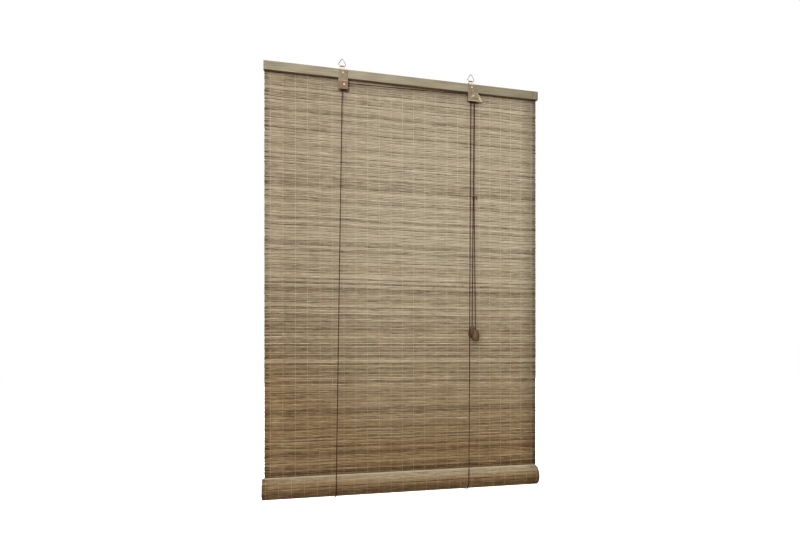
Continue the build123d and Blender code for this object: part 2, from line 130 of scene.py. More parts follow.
# a broad soft key from the left front, a softer one overhead, a weak light behind,
# and a pale sky over a warm ground
studio = {
    "keyStrength": 2.46, "keyAngle": 34.0, "keyFrom": (-0.5, -1.0, 0.12), "keyColour": "#fffcf8",
    "topStrength": 1.3, "topAngle": 40.0, "topFrom": (-0.1, -0.35, 1.0), "topColour": "#ffffff",
    "backStrength": 24.0, "backSize": 2.0, "backPlace": (0.6, 2.2, 0.4), "backColour": "#ffffff",
    "skyStrength": 0.68, "skyColour": "#ffffff", "groundColour": "#5e2e0c",
    "horizon": (-0.35, 0.35), "floorZ": -2.2, "floorHalf": 20.0, "floorColour": "#f6f5f2"}


def addLight(name, kind, energy, place, size, colour):
    data = bpy.data.lights.new(name, kind)
    data.energy = energy
    data.color = toLinear(colour)[:3]
    if kind == "SUN":
        data.angle = math.radians(size)
    else:
        data.size = size
    light = newObject(name, data)
    light.location = place
    light.rotation_euler = (blindMiddle - Vector(place)).to_track_quat("-Z", "Y").to_euler()


addLight("keyLight", "SUN", studio["keyStrength"], blindMiddle + 3 * Vector(studio["keyFrom"]),
         studio["keyAngle"], studio["keyColour"])
addLight("topLight", "SUN", studio["topStrength"], blindMiddle + 3 * Vector(studio["topFrom"]),
         studio["topAngle"], studio["topColour"])
addLight("backLight", "AREA", studio["backStrength"], studio["backPlace"],
         studio["backSize"], studio["backColour"])

world = bpy.data.worlds.new("studio")
world.use_nodes = True
bpy.context.scene.world = world
sky = world.node_tree
sky.nodes.clear()
skyPlace = addNode(sky, "ShaderNodeTexCoord")
skyHeight = addNode(sky, "ShaderNodeSeparateXYZ", skyPlace.outputs["Generated"])
climb = addNode(sky, "ShaderNodeMapRange", skyHeight.outputs["Z"], *studio["horizon"])
skyTint = addNode(sky, "ShaderNodeMix", climb, data_type="RGBA", named={
    6: toLinear(studio["groundColour"]), 7: toLinear(studio["skyColour"])})
glow = addNode(sky, "ShaderNodeBackground", skyTint.outputs[2], studio["skyStrength"])
backdrop = addNode(sky, "ShaderNodeBackground", (1, 1, 1, 1), 1.0)
seen = addNode(sky, "ShaderNodeLightPath").outputs["Is Camera Ray"]
addNode(sky, "ShaderNodeOutputWorld", addNode(sky, "ShaderNodeMixShader", seen, glow, backdrop))

# a pale floor that runs into the white backdrop and throws no colour on the blind
half = studio["floorHalf"]
floorCorners = [(x * half, y * half, studio["floorZ"]) for x, y in ((-1, -1), (1, -1), (1, 1), (-1, 1))]
floorMesh = bpy.data.meshes.new("floor")
floorMesh.from_pydata(floorCorners, [], [(0, 1, 2, 3)])
floor = newObject("floor", floorMesh)
floorMaterial, _, floorSurface = newMaterial("whiteFloorPaint", Roughness=0.9, Emission_Strength=1.0)
floorSurface.inputs["Base Color"].default_value = toLinear(studio["floorColour"])
floorSurface.inputs["Emission Color"].default_value = (1, 1, 1, 1)
floorMesh.materials.append(floorMaterial)
floor.visible_diffuse = False
floor.visible_glossy = False
print("studio is set")


def splitBamboo():
    # split bamboo, unvarnished: matt, each splint with its own tone, and browner towards the left;
    # lower on the mat it turns browner and darker, partly browner bamboo and partly painted shade, and under
    # the roll all painted shade
    grain = {
        # length in mm, step from splint to splint, detail, share
        "streaks": ((70.0, 0.8, 2.0, 0.95), (18.0, 1.9, 1.0, 0.55)),
        "young": ((0.0, "#54482f"), (0.25, "#968970"), (0.5, "#b6aa8f"), (0.75, "#c8bea4"), (1.0, "#e2d9c4")),
        # the second ramp: browner bamboo and painted shade, low on the mat and under the roll
        "agedAndShaded": ((0.0, "#3c240c"), (0.25, "#614828"), (0.5, "#836b47"), (0.75, "#9c8560"), (1.0, "#c0a880")),
        "towardsLeft": (-0.1, -0.36, 0.3),  # from x to x in metres, and by how much
        "endMm": (16.0, 2.0), "endStep": 0.9, "endNoise": (0.5, 0.62, 0.45),  # some splints' ends are stained
        "bumpMm": 0.12}
    material, tree, surface = newMaterial("splitBamboo", Roughness=0.6, IOR=1.45)
    tone, rank, ageAndShade = (addNode(tree, "ShaderNodeAttribute", attribute_name=name).outputs["Fac"]
                       for name in ("tone", "rank", "ageAndShade"))
    place = addNode(tree, "ShaderNodeTexCoord").outputs["Object"]
    alongX = addNode(tree, "ShaderNodeSeparateXYZ", place).outputs["X"]
    value = tone
    for lengthMm, rankStep, detail, share in grain["streaks"]:
        across = addNode(tree, "ShaderNodeMath", rank, rankStep, operation="MULTIPLY")
        along = addNode(tree, "ShaderNodeMath", alongX, 1000 / lengthMm, operation="MULTIPLY")
        spot = addNode(tree, "ShaderNodeCombineXYZ", along, across)
        streak = addNode(tree, "ShaderNodeTexNoise", spot, named={
            "Scale": 1.0, "Detail": detail, "Roughness": 0.6})
        around = addNode(tree, "ShaderNodeMath", streak, 0.5, operation="SUBTRACT")
        value = addNode(tree, "ShaderNodeMath", around, share, value, operation="MULTIPLY_ADD")
    fromMiddle = addNode(tree, "ShaderNodeMath", alongX, operation="ABSOLUTE")
    nearEnd = addNode(tree, "ShaderNodeMapRange", fromMiddle, matHigh.x - grain["endMm"][0] / 1000,
                      matHigh.x - grain["endMm"][1] / 1000)
    stained = addNode(tree, "ShaderNodeTexNoise", noise_dimensions="1D", named={
        "W": rank, "Scale": grain["endStep"]})
    clear, full, share = grain["endNoise"]
    stained = addNode(tree, "ShaderNodeMapRange", stained, clear, full, 0.0, share)
    stain = addNode(tree, "ShaderNodeMath", nearEnd, stained, operation="MULTIPLY")
    value = addNode(tree, "ShaderNodeMath", value, stain, operation="SUBTRACT")
    # browner towards the left end, added onto the per-splint browning and painted shade
    right, left, share = grain["towardsLeft"]
    towardsLeft = addNode(tree, "ShaderNodeMapRange", alongX, right, left, 0.0, share)
    ageAndShade = addNode(tree, "ShaderNodeMath", ageAndShade, towardsLeft, operation="ADD")
    young = addNode(tree, "ShaderNodeValToRGB", value, stops=grain["young"])
    agedAndShaded = addNode(tree, "ShaderNodeValToRGB", value, stops=grain["agedAndShaded"])
    colour = addNode(tree, "ShaderNodeMix", ageAndShade, data_type="RGBA", named={6: young, 7: agedAndShaded})
    tree.links.new(colour.outputs[2], surface.inputs["Base Color"])
    bump = addNode(tree, "ShaderNodeBump", named={
        "Height": streak, "Strength": 0.35, "Distance": grain["bumpMm"] / 1000})
    tree.links.new(bump.outputs[0], surface.inputs["Normal"])
    return material


def cottonWarp():
    # undyed cotton yarn: pale, soft and a little fuzzy, and darker towards the foot in painted shade like the
    # lower mat
    # its 0.3 mm fuzz is drawn at 1 mm, because a finer one can't be seen
    yarn = {
        "fuzzMm": 1.0, "clean": ((0.3, "#d6ccb9"), (0.7, "#ece4d4")),
        "shadedYarn": ((0.3, "#9c8e74"), (0.7, "#bdb095")),
        "lowerShade": (matHigh.z * 12, rollAxis.z * 0.95)}  # heights where the painted shade starts and is full
    material, tree, surface = newMaterial("cottonWarp", Roughness=0.85)
    place = addNode(tree, "ShaderNodeTexCoord").outputs["Object"]
    fuzz = addNode(tree, "ShaderNodeTexNoise", place, named={"Scale": 1000 / yarn["fuzzMm"], "Detail": 2.0})
    height = addNode(tree, "ShaderNodeSeparateXYZ", place).outputs["Z"]
    lowerShade = addNode(tree, "ShaderNodeMapRange", height, *yarn["lowerShade"])
    clean = addNode(tree, "ShaderNodeValToRGB", fuzz, stops=yarn["clean"])
    shadedYarn = addNode(tree, "ShaderNodeValToRGB", fuzz, stops=yarn["shadedYarn"])
    colour = addNode(tree, "ShaderNodeMix", lowerShade, data_type="RGBA", named={6: clean, 7: shadedYarn})
    tree.links.new(colour.outputs[2], surface.inputs["Base Color"])
    return material


def planedWood(name, roughness, grainMm, lengthMm, tones):
    # planed wood: soft grain along its length, satin where it is lacquered or waxed
    material, tree, surface = newMaterial(name, Roughness=roughness)
    place = addNode(tree, "ShaderNodeTexCoord").outputs["Object"]
    along = addNode(tree, "ShaderNodeMapping", place, named={
        "Scale": (1000 / lengthMm, 1000 / grainMm, 1000 / grainMm)})
    fine = addNode(tree, "ShaderNodeTexNoise", along, named={"Scale": 1.0, "Detail": 4.0, "Roughness": 0.65})
    wide = addNode(tree, "ShaderNodeMapping", place, named={"Scale": (12.0, 40.0, 40.0)})
    broad = addNode(tree, "ShaderNodeTexNoise", wide, named={"Scale": 1.0, "Detail": 1.0})
    share = addNode(tree, "ShaderNodeMath", broad, 0.35, operation="MULTIPLY")
    shade = addNode(tree, "ShaderNodeMath", fine, 0.65, share, operation="MULTIPLY_ADD")
    colour = addNode(tree, "ShaderNodeValToRGB", shade, stops=tones).outputs[0]
    bump = addNode(tree, "ShaderNodeBump", named={"Height": fine, "Strength": 0.25, "Distance": 0.0003})
    tree.links.new(bump.outputs[0], surface.inputs["Normal"])
    tree.links.new(colour, surface.inputs["Base Color"])
    return material, tree, surface, colour


def lacqueredPine():
    # thinly lacquered softwood rail, greenish grey tan, darker towards its right end,
    # with a stain near that end and painted shade at the very end
    rail = {
        "tones": ((0.32, "#776e54"), (0.68, "#aca48b"), (0.5, "#978e75")), "grainMm": 3.0, "lengthMm": 70.0,
        # of the two dark marks near the right end, the first is a stain and the second, at the very end, is
        # painted shade
        "stainAndEndShade": ((0.3835, 2.2, 0.55), (0.3985, 3.0, 0.8)),  # x in metres, half width in mm, share
        "stainAndShadeColour": "#3d352a", "wobble": 0.006,
        "rightEndDarkening": (0.05, 0.4, 0.7), "rightEndColour": "#6f6650"}  # from x to x in metres, and share
    material, tree, surface, colour = planedWood(
        "lacqueredPine", 0.5, rail["grainMm"], rail["lengthMm"], rail["tones"])
    place = addNode(tree, "ShaderNodeTexCoord").outputs["Object"]
    alongX = addNode(tree, "ShaderNodeSeparateXYZ", place).outputs["X"]
    start, end, share = rail["rightEndDarkening"]
    rightEndDarkening = addNode(tree, "ShaderNodeMapRange", alongX, start, end, 0.0, share)
    colour = addNode(tree, "ShaderNodeMix", rightEndDarkening, data_type="RGBA", named={
        6: colour, 7: toLinear(rail["rightEndColour"])}).outputs[2]
    blot = addNode(tree, "ShaderNodeTexNoise", place, named={"Scale": 120.0, "Detail": 2.0})
    around = addNode(tree, "ShaderNodeMath", blot, 0.5, operation="SUBTRACT")
    wobble = addNode(tree, "ShaderNodeMath", around, rail["wobble"], alongX, operation="MULTIPLY_ADD")
    for centre, halfMm, share in rail["stainAndEndShade"]:
        aside = addNode(tree, "ShaderNodeMath", wobble, centre, operation="SUBTRACT")
        distance = addNode(tree, "ShaderNodeMath", aside, operation="ABSOLUTE")
        amount = addNode(tree, "ShaderNodeMapRange", distance, 0.0, halfMm / 1000, share, 0.0)
        colour = addNode(tree, "ShaderNodeMix", amount, data_type="RGBA", named={
            6: colour, 7: toLinear(rail["stainAndShadeColour"])}).outputs[2]
    tree.links.new(colour, surface.inputs["Base Color"])
    return material


def workedMetal(name, roughness, metallic, patchMm, dark, light, wearAndHighlight, bands=()):
    # sheet or wire with a thin finish: cloudy, brighter along its edges, partly from use and partly as
    # painted highlight, and tinted in bands across it
    finish = {
        "bandBlur": 0.0004, "edge": 0.0005, "smoother": 0.08, "rougher": 0.12,
        "rubbedAndHighlit": (0.98, 0.75, 0.8)}  # how far an edge's normals agree where it is whole and bare, and share
    material, tree, surface = newMaterial(name, Metallic=metallic)
    place = addNode(tree, "ShaderNodeTexCoord").outputs["Object"]
    cloud = addNode(tree, "ShaderNodeTexNoise", place, named={
        "Scale": 1000 / patchMm, "Detail": 4.0, "Roughness": 0.65})
    colour = addNode(tree, "ShaderNodeValToRGB", cloud, stops=((0.3, dark), (0.7, light))).outputs[0]
    spot = addNode(tree, "ShaderNodeSeparateXYZ", place).outputs
    blur = finish["bandBlur"]
    for low, high, side, tint, share in bands:
        above = addNode(tree, "ShaderNodeMapRange", spot["Z"], low - blur, low + blur, 0.0, share)
        below = addNode(tree, "ShaderNodeMapRange", spot["Z"], high + blur, high - blur)
        within = addNode(tree, "ShaderNodeMath", above, below, operation="MULTIPLY")
        if side:
            here = addNode(tree, "ShaderNodeMapRange", spot["X"], -0.01 * side, 0.01 * side)
            within = addNode(tree, "ShaderNodeMath", within, here, operation="MULTIPLY")
        colour = addNode(tree, "ShaderNodeMix", within, data_type="RGBA", named={
            6: colour, 7: toLinear(tint)}).outputs[2]
    # edges lighter: partly from use, partly painted highlight
    rounded = addNode(tree, "ShaderNodeBevel", finish["edge"], samples=4)
    face = addNode(tree, "ShaderNodeNewGeometry").outputs["Normal"]
    match = addNode(tree, "ShaderNodeVectorMath", rounded, face, operation="DOT_PRODUCT").outputs["Value"]
    whole, bare, share = finish["rubbedAndHighlit"]
    edgeWearAndHighlight = addNode(tree, "ShaderNodeMapRange", match, whole, bare, 0.0, share)
    wornAndHighlit = addNode(tree, "ShaderNodeMix", edgeWearAndHighlight, data_type="RGBA", named={6: colour, 7: toLinear(wearAndHighlight)})
    tree.links.new(wornAndHighlit.outputs[2], surface.inputs["Base Color"])
    rough = addNode(tree, "ShaderNodeMapRange", cloud, 0.0, 1.0, roughness - finish["smoother"],
                    roughness + finish["rougher"])
    tree.links.new(rough.outputs[0], surface.inputs["Roughness"])
    return material


def laidPolyester():
    # laid polyester cord, dark reddish brown and dull; its yarns follow the cord's own map
    # a yarn is 0.4 mm wide and is drawn as 0.8 mm, so that it can be seen
    yarn = {"scale": 1.1, "distortion": 0.4, "fluffMm": 1.4,
            "tones": ((0.25, "#260603"), (0.85, "#5c1a10"), (0.55, "#400e08"))}
    material, tree, surface = newMaterial("laidPolyester", Roughness=0.75, Specular_IOR_Level=0.25)
    coordinates = addNode(tree, "ShaderNodeTexCoord")
    yarns = addNode(tree, "ShaderNodeTexWave", coordinates.outputs["UV"], named={
        "Scale": yarn["scale"], "Distortion": yarn["distortion"]}, bands_direction="DIAGONAL").outputs["Fac"]
    fluff = addNode(tree, "ShaderNodeTexNoise", coordinates.outputs["Object"], named={
        "Scale": 1000 / yarn["fluffMm"], "Detail": 2.0})
    share = addNode(tree, "ShaderNodeMath", fluff, 0.5, operation="MULTIPLY")
    shade = addNode(tree, "ShaderNodeMath", yarns, 0.5, share, operation="MULTIPLY_ADD")
    colour = addNode(tree, "ShaderNodeValToRGB", shade, stops=yarn["tones"])
    tree.links.new(colour.outputs[0], surface.inputs["Base Color"])
    bump = addNode(tree, "ShaderNodeBump", named={"Height": yarns, "Strength": 0.4, "Distance": 0.0002})
    tree.links.new(bump.outputs[0], surface.inputs["Normal"])
    return material


# bands on the brackets: lowest and highest place in metres, side (-1 left, 1 right, 0 both), tint, share
bracketBands = (
    (railHigh.z - 0.0024, 1.0, 0, "#d6c8b6", 1.0),  # the strap, scuffed down to bare metal
    (-0.0218, 1.0, 0, "#4d453a", 0.95),  # its fold round the ring, dark
    (-1.0, -0.0612, -1, "#7c5638", 0.55),  # the left plate's lower part browner and darker under its bead: painted shade
    (-0.0616, -0.0604, -1, "#d0bd98", 0.7),  # painted highlight along the bead's crest
    (-0.08, -0.0763, 1, "#cbb896", 0.5))  # painted highlight along the right plate's lip
materials = {
    "splint": splitBamboo(),
    "thread": cottonWarp(),
    "rail": lacqueredPine(),
    "batten": planedWood("rawPine", 0.7, 4.0, 90.0, (
        (0.3, "#94794f"), (0.7, "#c9b48c"), (0.5, "#b39c72")))[0],
    "acorn": planedWood("waxedHardwood", 0.6, 3.0, 30.0, (
        (0.3, "#37240d"), (0.7, "#6c5729"), (0.5, "#4f3a19")))[0],
    "bracket": workedMetal("bronzedSteel", 0.42, 0.3, 4.0, "#6c5f48", "#a3957a", "#ddceb4", bracketBands),
    "ring": workedMetal("zincWire", 0.3, 0.9, 2.0, "#85827b", "#b4b1aa", "#e8e6e0"),
    "nail": workedMetal("brightSteel", 0.25, 0.7, 2.0, "#d8cbb5", "#fbf1df", "#fffaf0"),
    "wheel": workedMetal("turnedBrass", 0.3, 0.95, 3.0, "#a5873f", "#c9ab62", "#e6cf90"),
    "staple": workedMetal("stapleWire", 0.3, 0.9, 2.0, "#a5a39d", "#cfcdc8", "#efeeea"),
    "cord": laidPolyester()}

nodeMaterials = {
    "head_rail": "rail", "bottom_batten": "batten", "acorn_left": "acorn", "acorn_right": "acorn",
    "bracket_left": "bracket", "lock_bracket_right": "bracket", "ring_left": "ring", "ring_right": "ring",
    "bracket_nails": "nail", "axle_left": "nail", "axle_right": "nail", "wheel_left": "wheel",
    "wheel_right": "wheel", "lock_roller": "wheel", "top_staples": "staple", "batten_staples": "staple"}
for nodeName, materialName in nodeMaterials.items():
    node = frame["nodes"][nodeName]
    node.data.materials.clear()
    node.data.materials.append(materials[materialName])
print("materials are made")


# the woven mat: splints and warp threads, in metres
weave = {
    "pitch": 0.0022, "width": 0.0027, "thickness": 0.0011, "segments": 15, "stagger": 0.00016,
    "groupWave": 0.0016, "groupStep": 0.03, "ownWave": 0.00025, "ownStep": 0.55, "waveLength": 0.045,
    "ragged": 0.0007, "seed": 7, "batchShare": 0.55, "batchStep": 0.23, "ownShare": 0.5,
    "threads": 24, "firstThread": 0.0155, "threadPitch": 0.0333, "threadRadius": 0.00042,
    "threadSway": 0.0008, "swayScale": (31.0, 14.0, 14.0)}


def openTree(name, sockets):
    tree = bpy.data.node_groups.new(name, "GeometryNodeTree")
    tree.is_modifier = True
    tree.interface.new_socket("Geometry", in_out="INPUT", socket_type="NodeSocketGeometry")
    tree.interface.new_socket("Geometry", in_out="OUTPUT", socket_type="NodeSocketGeometry")
    for label, kind in sockets.items():
        tree.interface.new_socket(label, in_out="INPUT", socket_type="NodeSocket" + kind)
    return tree, addNode(tree, "NodeGroupInput").outputs


def splintTree():
    tree, given = openTree("splintWeave", {
        "Count": "Int", "Length": "Float", "Width": "Float", "Thickness": "Float", "Segments": "Int",
        "Stagger": "Float", "Group Wave": "Float", "Group Step": "Float", "Own Wave": "Float",
        "Own Step": "Float", "Wave Length": "Float", "Ragged": "Float", "Batch Share": "Float",
        "Own Share": "Float", "First Rank": "Float", "Tone": "Float", "Age And Shade Start": "Float",
        "Age And Shade Slope": "Float", "Shade From": "Float", "Shade To": "Float", "Foot Shade": "Float",
        "Seed": "Int", "Material": "Material"})
    path = addNode(tree, "GeometryNodeMeshToCurve", given["Geometry"])
    spots = addNode(tree, "GeometryNodeCurveToPoints", path, given["Count"], mode="COUNT").outputs
    index = addNode(tree, "GeometryNodeInputIndex")
    along = addNode(tree, "ShaderNodeMath", index, given["Count"], operation="DIVIDE")
    rank = addNode(tree, "ShaderNodeMath", index, given["First Rank"], operation="ADD")
    # tone: batches of like splints, each splint's own, and a shaded stretch, close above the roll or under it
    own = addNode(tree, "FunctionNodeRandomValue", data_type="FLOAT", named={
        2: -0.5, 3: 0.5, "ID": index.outputs[0], "Seed": given["Seed"]}).outputs[1]
    batchPlace = addNode(tree, "ShaderNodeMath", rank, weave["batchStep"], operation="MULTIPLY")
    batch = addNode(tree, "ShaderNodeTexNoise", noise_dimensions="1D", named={
        "W": batchPlace, "Scale": 1.0, "Detail": 3.0, "Roughness": 0.7})
    batch = addNode(tree, "ShaderNodeMath", batch, 0.5, operation="SUBTRACT")
    tone = addNode(tree, "ShaderNodeMath", batch, given["Batch Share"], given["Tone"],
                   operation="MULTIPLY_ADD")
    tone = addNode(tree, "ShaderNodeMath", own, given["Own Share"], tone, operation="MULTIPLY_ADD")
    foot = addNode(tree, "ShaderNodeMapRange", along, given["Shade From"], given["Shade To"])
    shade = addNode(tree, "ShaderNodeMath", foot, given["Foot Shade"], operation="MULTIPLY")
    tone = addNode(tree, "ShaderNodeMath", tone, shade, operation="SUBTRACT")
    # browning and painted shade along the path: on the hanging mat partly browner bamboo and partly painted
    # shade towards the foot; on the roll painted shade on its back and underside
    ageAndShade = addNode(tree, "ShaderNodeMath", along, given["Age And Shade Slope"], given["Age And Shade Start"],
                  operation="MULTIPLY_ADD")
    ageAndShade = addNode(tree, "ShaderNodeClamp", ageAndShade)
    points = spots["Points"]
    for label, value, kind in (("rank", rank, "FLOAT"), ("tone", tone, "FLOAT"), ("ageAndShade", ageAndShade, "FLOAT"),
                               ("lie", spots["Tangent"], "FLOAT_VECTOR")):
        points = addNode(tree, "GeometryNodeStoreNamedAttribute", data_type=kind, domain="POINT", named={
            "Geometry": points, "Name": label, "Value": value})
    # one splint, laid across the path at every point, its ends a little uneven
    back = addNode(tree, "ShaderNodeMath", given["Ragged"], -1.0, operation="MULTIPLY")
    otherSeed = addNode(tree, "ShaderNodeMath", given["Seed"], 11.0, operation="ADD")
    slip = addNode(tree, "FunctionNodeRandomValue", data_type="FLOAT", named={
        2: back, 3: given["Ragged"], "ID": index.outputs[0], "Seed": otherSeed}).outputs[1]
    points = addNode(tree, "GeometryNodeSetPosition", points, named={
        "Offset": addNode(tree, "ShaderNodeCombineXYZ", slip)})
    stick = addNode(tree, "GeometryNodeMeshCylinder", fill_type="NGON", named={
        "Vertices": 4, "Side Segments": given["Segments"], "Radius": 1.0, "Depth": 1.0})
    halfWidth = addNode(tree, "ShaderNodeMath", given["Width"], 0.5, operation="MULTIPLY")
    halfThick = addNode(tree, "ShaderNodeMath", given["Thickness"], 0.5, operation="MULTIPLY")
    size = addNode(tree, "ShaderNodeCombineXYZ", halfWidth, halfThick, given["Length"])
    splint = addNode(tree, "GeometryNodeTransform", stick, named={
        "Rotation": (0, math.pi / 2, 0), "Scale": size})
    lie = addNode(tree, "ShaderNodeSeparateXYZ", spots["Tangent"]).outputs
    turn = addNode(tree, "ShaderNodeMath", lie["Y"],
                   addNode(tree, "ShaderNodeMath", lie["Z"], -1.0, operation="MULTIPLY"), operation="ARCTAN2")
    laid = addNode(tree, "GeometryNodeInstanceOnPoints", named={
        "Points": points, "Instance": splint, "Rotation": addNode(tree, "ShaderNodeCombineXYZ", turn)})
    solid = addNode(tree, "GeometryNodeRealizeInstances", laid)
    # neighbours wander together in broad waves, and each a little by itself
    # the noise swings about a quarter each way, so it is taken fourfold
    keptRank = addNode(tree, "GeometryNodeInputNamedAttribute", "rank", data_type="FLOAT")
    keptLie = addNode(tree, "GeometryNodeInputNamedAttribute", "lie", data_type="FLOAT_VECTOR")
    spotX = addNode(tree, "ShaderNodeSeparateXYZ", addNode(tree, "GeometryNodeInputPosition")).outputs["X"]
    waveX = addNode(tree, "ShaderNodeMath", spotX, given["Wave Length"], operation="DIVIDE")
    sway = 0.0
    for step, reach in ((given["Group Step"], given["Group Wave"]), (given["Own Step"], given["Own Wave"])):
        waveY = addNode(tree, "ShaderNodeMath", keptRank, step, operation="MULTIPLY")
        spot = addNode(tree, "ShaderNodeCombineXYZ", waveX, waveY, given["Seed"])
        wave = addNode(tree, "ShaderNodeTexNoise", spot, named={"Scale": 1.0, "Detail": 1.0})
        around = addNode(tree, "ShaderNodeMath", wave, 0.5, operation="SUBTRACT")
        fourfold = addNode(tree, "ShaderNodeMath", reach, 4.0, operation="MULTIPLY")
        sway = addNode(tree, "ShaderNodeMath", around, fourfold, sway, operation="MULTIPLY_ADD")
    alternate = addNode(tree, "ShaderNodeMath", keptRank, 1.0, operation="PINGPONG")
    alternate = addNode(tree, "ShaderNodeMath", alternate, 2.0, -1.0, operation="MULTIPLY_ADD")
    step = addNode(tree, "ShaderNodeMath", alternate, given["Stagger"], operation="MULTIPLY")
    outwards = addNode(tree, "ShaderNodeVectorMath", keptLie, (1, 0, 0), operation="CROSS_PRODUCT")
    aside = addNode(tree, "ShaderNodeVectorMath", keptLie, named={"Scale": sway}, operation="SCALE")
    proud = addNode(tree, "ShaderNodeVectorMath", outwards, named={"Scale": step}, operation="SCALE")
    moved = addNode(tree, "GeometryNodeSetPosition", solid, named={
        "Offset": addNode(tree, "ShaderNodeVectorMath", aside, proud, operation="ADD")})
    smooth = addNode(tree, "GeometryNodeSetShadeSmooth", moved)
    finished = addNode(tree, "GeometryNodeSetMaterial", smooth, named={"Material": given["Material"]})
    addNode(tree, "NodeGroupOutput", finished)
    return tree


def threadTree():
    tree, given = openTree("warpThreads", {
        "Count": "Int", "Threads": "Int", "Pitch": "Float", "Radius": "Float", "Bow": "Float",
        "Sway": "Float", "Material": "Material"})
    path = addNode(tree, "GeometryNodeMeshToCurve", given["Geometry"])
    even = addNode(tree, "GeometryNodeResampleCurve", named={"Curve": path, "Count": given["Count"]})
    side = addNode(tree, "ShaderNodeMath", addNode(tree, "GeometryNodeInputIndex"), 1.0, operation="PINGPONG")
    side = addNode(tree, "ShaderNodeMath", side, 2.0, -1.0, operation="MULTIPLY_ADD")
    outwards = addNode(tree, "ShaderNodeVectorMath", addNode(tree, "GeometryNodeInputTangent"), (1, 0, 0),
                       operation="CROSS_PRODUCT")
    profile = addNode(tree, "GeometryNodeCurvePrimitiveCircle", named={
        "Resolution": 3, "Radius": given["Radius"]})
    # two yarns pass each other between every two splints
    pair = addNode(tree, "GeometryNodeJoinGeometry")
    for sign in (1.0, -1.0):
        reach = addNode(tree, "ShaderNodeMath", given["Bow"], sign, operation="MULTIPLY")
        bow = addNode(tree, "ShaderNodeMath", side, reach, operation="MULTIPLY")
        offset = addNode(tree, "ShaderNodeVectorMath", outwards, named={"Scale": bow}, operation="SCALE")
        laced = addNode(tree, "GeometryNodeSetPosition", even, named={"Offset": offset})
        yarn = addNode(tree, "GeometryNodeCurveToMesh", laced, profile, named={"Fill Caps": True})
        tree.links.new(yarn.outputs[0], pair.inputs[0])
    row = addNode(tree, "GeometryNodeMeshLine", mode="OFFSET", named={
        "Count": given["Threads"], "Offset": addNode(tree, "ShaderNodeCombineXYZ", given["Pitch"])})
    laid = addNode(tree, "GeometryNodeInstanceOnPoints", named={"Points": row, "Instance": pair})
    solid = addNode(tree, "GeometryNodeRealizeInstances", laid)
    place = addNode(tree, "ShaderNodeVectorMath", addNode(tree, "GeometryNodeInputPosition"),
                    weave["swayScale"], operation="MULTIPLY")
    drift = addNode(tree, "ShaderNodeTexNoise", place, named={"Scale": 1.0, "Detail": 2.0})
    around = addNode(tree, "ShaderNodeMath", drift, 0.5, operation="SUBTRACT")
    fourfold = addNode(tree, "ShaderNodeMath", given["Sway"], 4.0, operation="MULTIPLY")
    aside = addNode(tree, "ShaderNodeMath", around, fourfold, operation="MULTIPLY")
    moved = addNode(tree, "GeometryNodeSetPosition", solid, named={
        "Offset": addNode(tree, "ShaderNodeCombineXYZ", aside)})
    finished = addNode(tree, "GeometryNodeSetMaterial", moved, named={"Material": given["Material"]})
    addNode(tree, "NodeGroupOutput", finished)
    return tree


def grow(name, path, tree, values):
    # runs a tree over a path and keeps what it makes as a plain mesh
    start = bpy.data.meshes.new(name)
    start.from_pydata(path, [(i, i + 1) for i in range(len(path) - 1)], [])
    piece = newObject(name, start)
    modifier = piece.modifiers.new("grow", "NODES")
    modifier.node_group = tree
    sockets = {item.name: item.identifier for item in tree.interface.items_tree if item.in_out == "INPUT"}
    for label, value in values.items():
        modifier[sockets[label]] = value
    grown = piece.evaluated_get(bpy.context.evaluated_depsgraph_get())
    mesh = bpy.data.meshes.new_from_object(grown)
    piece.modifiers.clear()
    piece.data = mesh
    print(f"{name}: {sum(len(face.vertices) - 2 for face in mesh.polygons)} triangles")
    return piece


def hangingPath(x):
    inset = weave["pitch"] / 2
    return [(x, matMiddleY, matHigh.z - inset), (x, matMiddleY, rollAxis.z + inset)]


# the roll at the foot: three turns inwards, then flat under the batten
roll = {"pitch": 0.00235, "turns": 3, "endBend": 0.007, "flat": 0.026, "stepsPerTurn": 48, "bendSteps": 8}


def rollPath(x):
    outer = rollRadius - matThickness / 2
    inner = outer - roll["turns"] * roll["pitch"]
    bend, steps = roll["endBend"], roll["turns"] * roll["stepsPerTurn"]
    points = []
    for i in range(steps + 1):
        angle = 2 * math.pi * i / roll["stepsPerTurn"]
        radius = outer - (outer - inner) * i / steps
        points.append((x, rollAxis.y + radius * math.cos(angle), rollAxis.z - radius * math.sin(angle)))
    innerY = rollAxis.y + inner
    for i in range(1, roll["bendSteps"] + 1):
        angle = math.pi / 2 * i / roll["bendSteps"]
        points.append((x, innerY - bend * (1 - math.cos(angle)), rollAxis.z - bend * math.sin(angle)))
    points.append((x, innerY - bend - roll["flat"], rollAxis.z - bend))
    return points


def splintCount(path):
    return round(sum((Vector(b) - Vector(a)).length for a, b in zip(path, path[1:])) / weave["pitch"]) + 1


splints, warpThreads = splintTree(), threadTree()
hangingCount, rolledCount = splintCount(hangingPath(0)), splintCount(rollPath(0))
splintValues = {
    "Width": weave["width"], "Thickness": weave["thickness"], "Segments": weave["segments"],
    "Stagger": weave["stagger"], "Group Step": weave["groupStep"], "Own Step": weave["ownStep"],
    "Wave Length": weave["waveLength"], "Ragged": weave["ragged"], "Seed": weave["seed"],
    "Material": materials["splint"]}
threadValues = {
    "Threads": weave["threads"], "Pitch": weave["threadPitch"], "Radius": weave["threadRadius"],
    "Bow": weave["thickness"] / 2 + weave["threadRadius"] * 0.6, "Sway": weave["threadSway"],
    "Material": materials["thread"]}
firstThread = matLow.x + weave["firstThread"]

